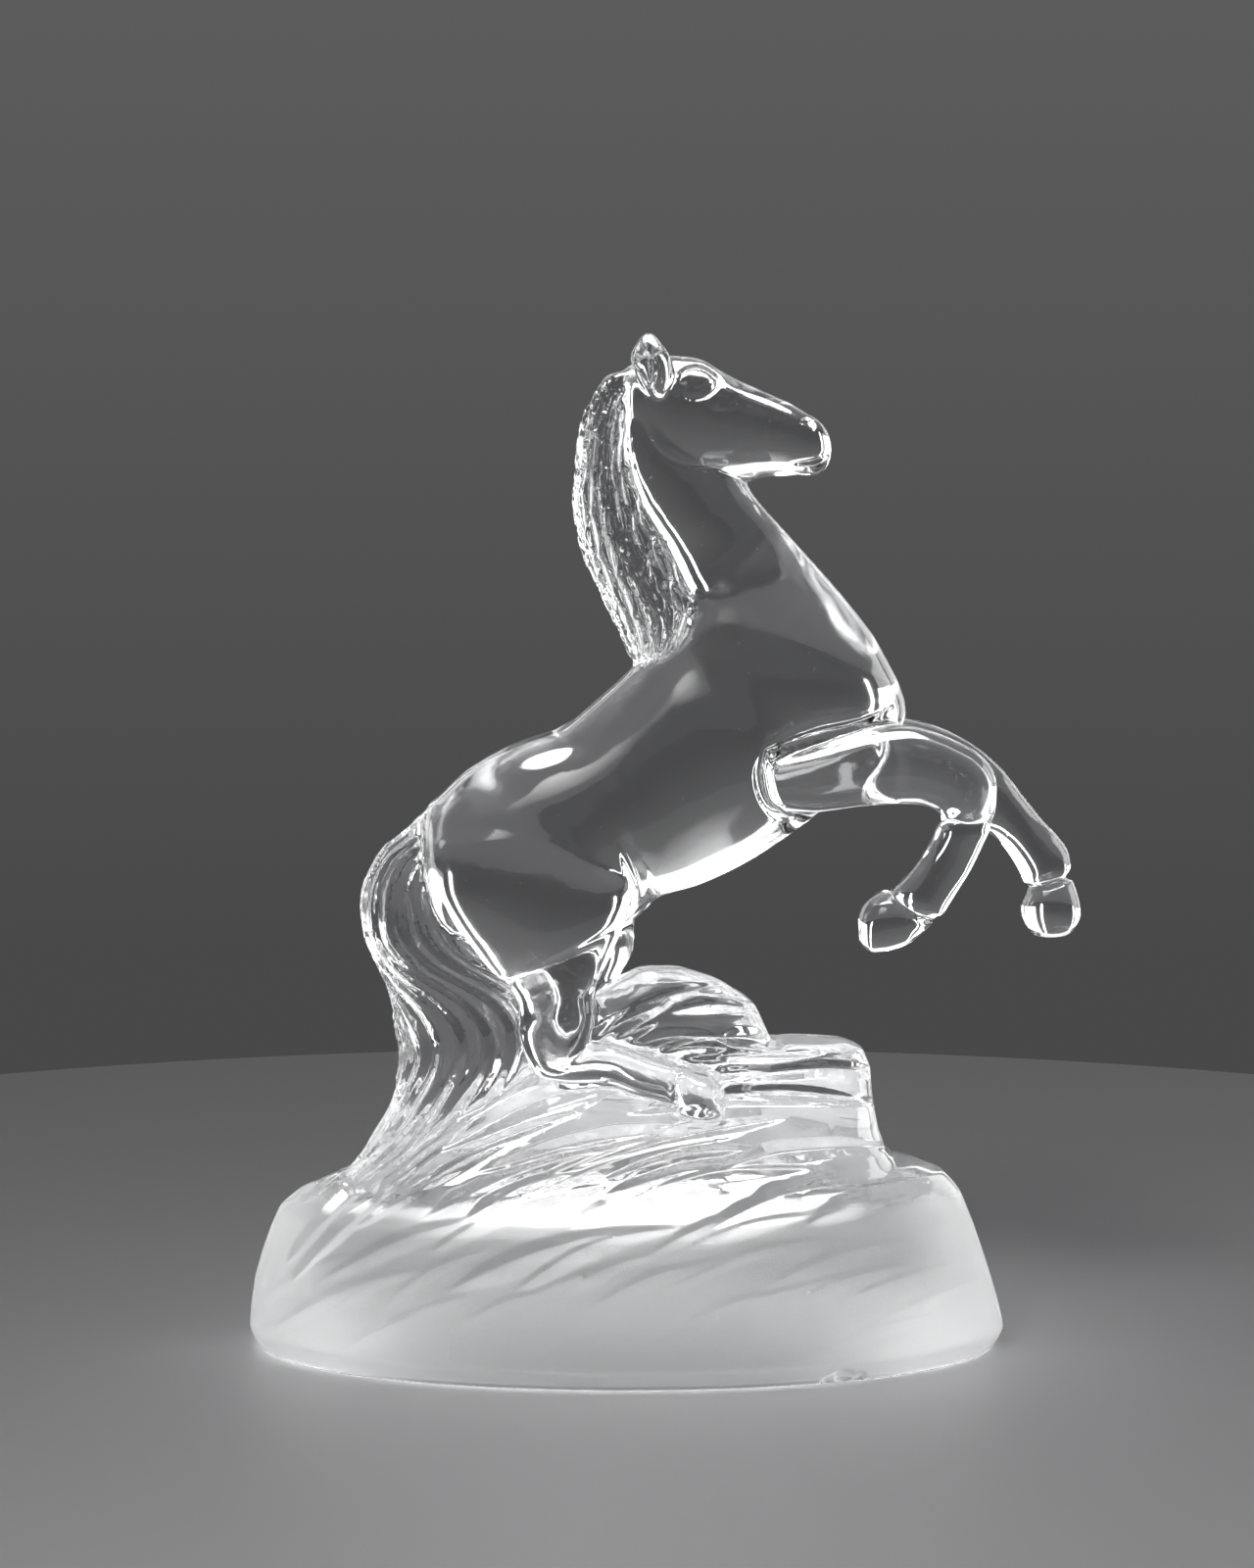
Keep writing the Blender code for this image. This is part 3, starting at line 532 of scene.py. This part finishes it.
for x, z, half_length, half_height, rise in SWELLINGS:
    out = ((side_view[:, 0] - x) / half_length) ** 2 + ((side_view[:, 1] - z) / half_height) ** 2
    depth -= rise * np.clip(1 - out, 0, 1) ** 1.5 * smoothstep(2, 7, np.abs(points[:, 1]))
print("pressed", len(CREASES), "creases and", len(SWELLINGS), "swellings")

# %% [markdown]
# ## Cutting the grass and the rock
#
# The bank is covered with the same leaf-shaped cuts, but longer, and each with a flat side and a
# steep side, so that every leaf shows one dark facet and one bright one. They lean with the wind:
# steep under the tail, flatter towards the rock, and level on its square face. They are drawn as
# seen from a little above, so that they wrap over from the top of the bank to its front, and the
# same drawing serves the far side, where the cuts are shallower.

# %% Scatter the leaves
VIEW_TILT = math.radians(11)
# left x, right x, bottom, top, tilt at the left, tilt at the right, length, half width, depth,
# how many
LEAVES = [
    (-66, -42, -19, 7, 44, 36, 24, 2.0, 1.4, 9),
    (-47, -14, -8, 12, 32, 18, 30, 2.2, 1.5, 9),
    (-24, 12, -4, 15, 18, 10, 32, 2.3, 1.5, 8),
    (-10, 44, -9, 4, 14, 8, 36, 2.6, 1.7, 8),
    (16, 46, 4, 18, 2, 0, 28, 1.9, 1.5, 7),
    (-7, 14, 16, 31, 38, 8, 22, 2.0, 1.6, 6),
    (8, 28, 15, 30, 20, -12, 22, 2.0, 1.6, 5),
    (-50, 50, -22, -8, 22, 14, 30, 2.6, 0.6, 13),
    (-62, 62, -44, -20, 24, 18, 26, 1.6, 0.2, 26)]
seen = np.column_stack([
    points[:, 0],
    points[:, 2] * math.cos(VIEW_TILT) - np.abs(points[:, 1]) * math.sin(VIEW_TILT)])
dice = np.random.RandomState(5)
leaf_depth = np.zeros(len(points))
low_points = np.flatnonzero(points[:, 2] < 38)
leaf_count = 0
for left, right, bottom, top, tilt_left, tilt_right, length, half_width, deep, count in LEAVES:
    for k in range(count):
        x = left + (right - left) * (k + dice.uniform(0.1, 0.9)) / count
        v = dice.uniform(bottom, top)
        tilt = np.interp(x, (left, right), (tilt_left, tilt_right)) + dice.uniform(-4, 4)
        tilt = math.radians(tilt)
        reach = length * dice.uniform(0.7, 1.4) / 2
        bend = math.radians(dice.uniform(2, 9))
        wide = half_width * dice.uniform(0.7, 1.3)
        middle = np.array([x, v])
        tip = middle + np.array([math.cos(tilt - bend), math.sin(tilt - bend)]) * reach
        root = middle - np.array([math.cos(tilt + bend), math.sin(tilt + bend)]) * reach
        line = spline([root, middle, tip], 6)
        near = low_points[(np.abs(seen[low_points] - middle) < reach + 2).all(axis=1)]
        away, along = distance_to_line(seen[near], line)
        leaf = wide * np.sin(math.pi * np.clip(along, 0.01, 0.99) ** 0.8) ** 0.8
        slant = away / leaf
        facet = np.where(slant > 0.3, (1 - slant) / 0.7, (1 + slant) / 1.3)
        cut = deep * np.clip(facet, 0, 1) * np.minimum(1, leaf / half_width)
        leaf_depth[near] = np.maximum(leaf_depth[near], cut)
        leaf_count += 1
print("scattered", leaf_count, "leaves")

# %% [markdown]
# The legs and the tail stand in front of the bank and stay clean, so the leaves are masked by the
# same measure that told the hair where to stop. They also fade out before the foot of the base.

# %% Press everything into the skin
clean = 1 - on_tail
for stations, power, side in (
        (LOWER_HIND_LEG, 2.4, -1), (HIND_HOOF, 2.5, -1),
        (stepped_forward(LOWER_HIND_LEG), 2.4, 1), (stepped_forward(HIND_HOOF), 2.5, 1)):
    clean *= 1 - on_limb(stations, power, side)[2]
leaf_depth *= clean * smoothstep(-37, -31, points[:, 2]) * (1 - smoothstep(34, 37, points[:, 2]))
leaf_depth *= smoothstep(0.02, 0.3, np.abs(normal[:, 1]) + 0.25 * np.abs(normal[:, 2]))
leaf_depth *= 1 - PLAINER_GRASS * far_side
MELT_LOSS = 0.2
depth = np.maximum(depth, leaf_depth)
place -= normal * ((depth - MELT_LOSS) * UNIT)[:, None]
print("deepest cut, mm:", round(float(depth.max()), 2))

# %% [markdown]
# A small flake is missing from the rim of the foot on the near side, as on many pieces that have
# stood on a shelf for years. Three shallow bowls that overlap make it, and a sine makes their edge
# ragged.

# %% Chip the rim of the foot
# x, z, radius, depth
CHIP = [(41.5, -38.6, 2.4, 0.7), (44.5, -38.9, 1.7, 0.5), (38.6, -39.0, 1.3, 0.4)]
chipped = 0
for x, z, radius, deep in CHIP:
    reach = np.hypot(points[:, 0] - x, 1.6 * (points[:, 2] - z)) + 0.2 * np.sin(7 * points[:, 0])
    bowl = deep * smoothstep(0, 0.35, 1 - reach / radius) * (points[:, 1] < 0)
    place -= normal * (bowl * UNIT)[:, None]
    chipped += int((bowl > 0).sum())
skin.vertices.foreach_set("co", place.ravel())
skin.update()
print("points moved by the chip:", chipped)

# %% [markdown]
# ## The finished casting
#
# The cutting leaves its ridges a little ragged where they cross the grid of the skin, and two more
# rounds of smoothing clean them. The skin also has far more faces than it needs on the smooth
# flanks. Decimate takes them away there and keeps them where the cutting is fine. The underside
# is ground flat on the real piece, and here a cutting plane does the same.

# %% Thin the skin and grind the underside
RIDGE_ROUNDS = 2
triangles = sum(len(face.vertices) - 2 for face in skin.polygons)
skin = with_modifiers(
    skin,
    ("SMOOTH", {"factor": 0.5, "iterations": RIDGE_ROUNDS}),
    ("DECIMATE", {"ratio": FINEST_TRIANGLES / triangles, "use_collapse_triangulate": True}))
casting = bmesh.new()
casting.from_mesh(skin)
everything = casting.verts[:] + casting.edges[:] + casting.faces[:]
cut = bmesh.ops.bisect_plane(
    casting, geom=everything, plane_co=(0, 0, 0), plane_no=(0, 0, 1), clear_inner=True)
rim = [item for item in cut["geom_cut"] if isinstance(item, bmesh.types.BMEdge)]
ground = bmesh.ops.edgeloop_fill(casting, edges=rim)
bmesh.ops.triangulate(casting, faces=ground["faces"])
bmesh.ops.recalc_face_normals(casting, faces=casting.faces)
for edge in rim:
    edge.smooth = False
casting.to_mesh(skin)
casting.free()
skin.name = "horse_casting"
skin.shade_smooth()
horse = bpy.data.objects.new("horse_casting", skin)
bpy.context.scene.collection.objects.link(horse)
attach(horse, "root")
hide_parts("crystal_horse")
print("casting:", len(skin.polygons), "faces")

# %% [markdown]
# ## Two finishes on one piece of glass
#
# The whole casting is the same clear crystal. What differs is the last step at the glassworks: the
# horse keeps the bright skin that the flame gave it, and the outside of the base is dipped in acid
# or blasted until it is satin. One material with a mask does that better than two materials with a
# seam, because the etching really does fade out among the leaves of grass. The underside was
# ground and polished after that, so the mask also stops just above the table.

# %% A mask for the etched part
def group(name, inputs, outputs):
    """An empty shader group with its sockets."""
    tree = bpy.data.node_groups.new(name, "ShaderNodeTree")
    for label, kind, value in inputs:
        socket = tree.interface.new_socket(label, in_out="INPUT", socket_type=kind)
        socket.default_value = value
    for label, kind in outputs:
        tree.interface.new_socket(label, in_out="OUTPUT", socket_type=kind)
    return tree, tree.nodes.new("NodeGroupInput"), tree.nodes.new("NodeGroupOutput")


def node(tree, kind, **values):
    """A node with some of its settings and sockets filled in."""
    made = tree.nodes.new(kind)
    for name, value in values.items():
        if hasattr(made, name):
            setattr(made, name, value)
        else:
            made.inputs[name.replace("_", " ")].default_value = value
    return made


def wire(tree, *pairs):
    """Join each output to the input beside it."""
    for source, target in pairs:
        tree.links.new(source, target)


etching, given, out = group(
    "etching", [("Top", "NodeSocketFloat", 0.038), ("Fade", "NodeSocketFloat", 0.006),
                ("Wander", "NodeSocketFloat", 0.006), ("Foot", "NodeSocketFloat", 0.0008)],
    [("Etched", "NodeSocketFloat")])
where = node(etching, "ShaderNodeTexCoord")
height = node(etching, "ShaderNodeSeparateXYZ")
patches = node(etching, "ShaderNodeTexNoise", Scale=70.0, Detail=2.0)
wander = node(etching, "ShaderNodeMath", operation="MULTIPLY_ADD")
below_top = node(etching, "ShaderNodeMath", operation="SUBTRACT")
share = node(etching, "ShaderNodeMath", operation="DIVIDE", use_clamp=True)
over_foot = node(etching, "ShaderNodeMath", operation="GREATER_THAN")
both = node(etching, "ShaderNodeMath", operation="MULTIPLY")
wire(
    etching,
    (where.outputs["Object"], height.inputs[0]),
    (where.outputs["Object"], patches.inputs["Vector"]),
    (patches.outputs["Fac"], wander.inputs[0]), (given.outputs["Wander"], wander.inputs[1]),
    (height.outputs["Z"], wander.inputs[2]), (given.outputs["Top"], below_top.inputs[0]),
    (wander.outputs[0], below_top.inputs[1]), (below_top.outputs[0], share.inputs[0]),
    (given.outputs["Fade"], share.inputs[1]), (height.outputs["Z"], over_foot.inputs[0]),
    (given.outputs["Foot"], over_foot.inputs[1]), (share.outputs[0], both.inputs[0]),
    (over_foot.outputs[0], both.inputs[1]), (both.outputs[0], out.inputs["Etched"]))
print("group", etching.name, "has", len(etching.nodes), "nodes")

# %% [markdown]
# Fire-polished glass isn't a perfect mirror: it keeps a faint ripple from the mould, the smears of
# the last hands that held it and some dust. Etched glass has a fine grain instead. The second group
# turns the mask into a roughness and a bumped normal, so that both finishes share one set of
# numbers.

# %% Ripple, grain, smears and dust
surface, given, out = group(
    "glass_surface",
    [("Etched", "NodeSocketFloat", 0.0), ("Ripple", "NodeSocketFloat", 0.00008),
     ("Grain", "NodeSocketFloat", 0.00002), ("Satin", "NodeSocketFloat", 0.42)],
    [("Roughness", "NodeSocketFloat"), ("Normal", "NodeSocketVector")])
where = node(surface, "ShaderNodeTexCoord")
ripple = node(surface, "ShaderNodeTexNoise", Scale=130.0, Detail=1.0)
grain = node(surface, "ShaderNodeTexNoise", Scale=2600.0, Detail=2.0)
dust = node(surface, "ShaderNodeTexNoise", Scale=900.0, Detail=3.0)
smear = node(surface, "ShaderNodeTexNoise", Scale=38.0, Detail=5.0, Roughness=0.65, Distortion=0.6)
specks = node(surface, "ShaderNodeMapRange", From_Min=0.72, From_Max=0.78, To_Min=0.0, To_Max=0.3)
smears = node(surface, "ShaderNodeMapRange", From_Min=0.45, From_Max=0.75, To_Min=0.06, To_Max=0.17)
soiled = node(surface, "ShaderNodeMath", operation="ADD")
grains = node(surface, "ShaderNodeMath", operation="MULTIPLY")
satin = node(surface, "ShaderNodeMath", operation="MULTIPLY_ADD", use_clamp=True)
ripples = node(surface, "ShaderNodeBump", Strength=1.0)
grained = node(surface, "ShaderNodeBump", Strength=1.0)
for texture in (ripple, grain, dust, smear):
    wire(surface, (where.outputs["Object"], texture.inputs["Vector"]))
wire(
    surface,
    (dust.outputs["Fac"], specks.inputs["Value"]), (smear.outputs["Fac"], smears.inputs["Value"]),
    (specks.outputs["Result"], soiled.inputs[0]), (smears.outputs["Result"], soiled.inputs[1]),
    (given.outputs["Etched"], satin.inputs[0]), (given.outputs["Satin"], satin.inputs[1]),
    (soiled.outputs[0], satin.inputs[2]), (satin.outputs[0], out.inputs["Roughness"]),
    (ripple.outputs["Fac"], ripples.inputs["Height"]),
    (given.outputs["Ripple"], ripples.inputs["Distance"]),
    (given.outputs["Etched"], grains.inputs[0]), (given.outputs["Grain"], grains.inputs[1]),
    (grain.outputs["Fac"], grained.inputs["Height"]),
    (grains.outputs[0], grained.inputs["Distance"]),
    (ripples.outputs["Normal"], grained.inputs["Normal"]),
    (grained.outputs["Normal"], out.inputs["Normal"]))
print("group", surface.name, "has", len(surface.nodes), "nodes")

# %% [markdown]
# ## The crystal
#
# Lead crystal bends light more than window glass, with an index of about 1.54, and that is what
# fills the edges of the horse with the studio's lights while the middle stays clear. The index,
# the transmission and the metallic value are plain numbers on the shader, since they are the same
# all over.

# %% Mix the crystal
crystal = bpy.data.materials.new("crystal")
crystal.use_nodes = True
tree = crystal.node_tree
glass = tree.nodes["Principled BSDF"]
glass.inputs["Base Color"].default_value = (0.97, 0.975, 0.98, 1)
glass.inputs["IOR"].default_value = 1.54
glass.inputs["Transmission Weight"].default_value = 1.0
mask = node(tree, "ShaderNodeGroup", node_tree=etching)
finish = node(tree, "ShaderNodeGroup", node_tree=surface)
wire(
    tree,
    (mask.outputs["Etched"], finish.inputs["Etched"]),
    (finish.outputs["Roughness"], glass.inputs["Roughness"]),
    (finish.outputs["Normal"], glass.inputs["Normal"]))
horse.data.materials.clear()
horse.data.materials.append(crystal)
print("crystal on", horse.name)

# %% [markdown]
# ## Table
#
# The floor is a plain pale table, round, so that it looks the same from every side.

# %% A round pale table
TABLE_RADIUS = 0.36
TABLE_GAP = 0.0003
table_mesh = bpy.data.meshes.new("pale_table")
disc = bmesh.new()
bmesh.ops.create_circle(disc, cap_ends=True, radius=TABLE_RADIUS, segments=128)
disc.to_mesh(table_mesh)
disc.free()
pale_table = bpy.data.objects.new("pale_table", table_mesh)
pale_table.location = (0, 0, -TABLE_GAP)
bpy.context.scene.collection.objects.link(pale_table)
pale = bpy.data.materials.new("pale_table")
pale.use_nodes = True
top_coat = pale.node_tree.nodes["Principled BSDF"]
top_coat.inputs["Base Color"].default_value = (0.5, 0.5, 0.505, 1)
top_coat.inputs["Roughness"].default_value = 0.5
table_mesh.materials.append(pale)
print("table across, metres:", round(2 * TABLE_RADIUS, 2))

# %% [markdown]
# ## Lights
#
# Clear glass has no colour of its own and shows only what stands round it. Against a bright wall
# it would vanish, so it is photographed in a dim room with large soft lights out of the picture:
# the middle of a limb shows the dim room and its edges bend the lights into view. A photographer
# holds up black cards, so that these lights reach the glass and not the table. Light linking does
# the same here: a linked lamp lights only the objects of one collection. Two thin strips behind
# the piece draw the fine lines in the mane and the grass. One more softbox, without cards, lights
# the table.

# %% Softboxes
glass_only = bpy.data.collections.new("glass_only")
glass_only.objects.link(horse)


def softbox(name, location, width, length, watts, target=(0, 0, 0.1), spread=180, cards=True,
            shape="RECTANGLE"):
    """A soft light turned to a point, hidden from the camera; with cards it lights only glass."""
    lamp = bpy.data.lights.new(name, "AREA")
    lamp.shape = shape
    lamp.size = width
    lamp.size_y = length
    lamp.energy = watts
    lamp.spread = math.radians(spread)
    box = bpy.data.objects.new(name, lamp)
    box.location = location
    box.rotation_euler = (Vector(target) - Vector(location)).to_track_quat("-Z", "Y").to_euler()
    box.visible_camera = False
    if cards:
        box.light_linking.receiver_collection = glass_only
    bpy.context.scene.collection.objects.link(box)


softbox("top_softbox", (0, -0.03, 0.62), 0.6, 0.4, 14, shape="ELLIPSE")
softbox("high_back_softbox", (0, 0.45, 0.5), 0.7, 0.25, 0.6)
for name, side in (("left", -1), ("right", 1)):
    softbox(name + "_softbox", (0.62 * side, 0.12, 0.2), 0.35, 0.45, 2.5)
    softbox(name + "_back_softbox", (0.45 * side, 0.46, 0.2), 0.30, 0.45, 1.0)
    softbox(name + "_strip", (0.24 * side, 0.55, 0.2), 0.02, 0.5, 0.15)
softbox("table_softbox", (-0.25, -0.75, 0.75), 0.4, 0.4, 0.6,
        target=(0, -0.35, 0), spread=60, cards=False)

# %% [markdown]
# The room itself is a grey that grows lighter towards the ceiling. It is what the smooth flanks
# show, so it has no edges anywhere: a colour ramp over the height of the viewing direction.

# %% A dim room
room_light = bpy.data.worlds.new("dim_room")
bpy.context.scene.world = room_light
room_light.use_nodes = True
tree = room_light.node_tree
direction = node(tree, "ShaderNodeTexCoord")
upward = node(tree, "ShaderNodeSeparateXYZ")
from_nought = node(tree, "ShaderNodeMapRange", From_Min=-1.0, From_Max=1.0)
greys = node(tree, "ShaderNodeValToRGB")
wire(
    tree,
    (direction.outputs["Generated"], upward.inputs[0]),
    (upward.outputs["Z"], from_nought.inputs["Value"]),
    (from_nought.outputs["Result"], greys.inputs["Fac"]),
    (greys.outputs["Color"], tree.nodes["Background"].inputs["Color"]))
ramp = greys.color_ramp.elements
ramp[0].position, ramp[0].color = 0.43, (0.066, 0.066, 0.068, 1)
ramp[1].position, ramp[1].color = 1.0, (0.22, 0.22, 0.225, 1)
ramp.new(0.545).color = (0.11, 0.11, 0.112, 1)
bpy.context.scene.view_settings.view_transform = "Standard"
print("room greys:", [round(stop.color[0], 3) for stop in ramp])

# %% [markdown]
# ## Camera
#
# The piece is seen from the side and a little from above, from less than a metre away. A longer
# lens keeps the head and the base in proportion.

# %% Camera
CAMERA_PLACE = (0, -0.846, 0.200)
LOOKS_DOWN = 5.93
camera = bpy.data.objects.new("camera", bpy.data.cameras.new("camera"))
camera.location = CAMERA_PLACE
camera.rotation_euler = (math.radians(90 - LOOKS_DOWN), 0, 0)
camera.data.lens = 99.2
camera.data.sensor_width = 36
bpy.context.scene.collection.objects.link(camera)
bpy.context.scene.camera = camera
print("lens, mm:", round(camera.data.lens, 1))
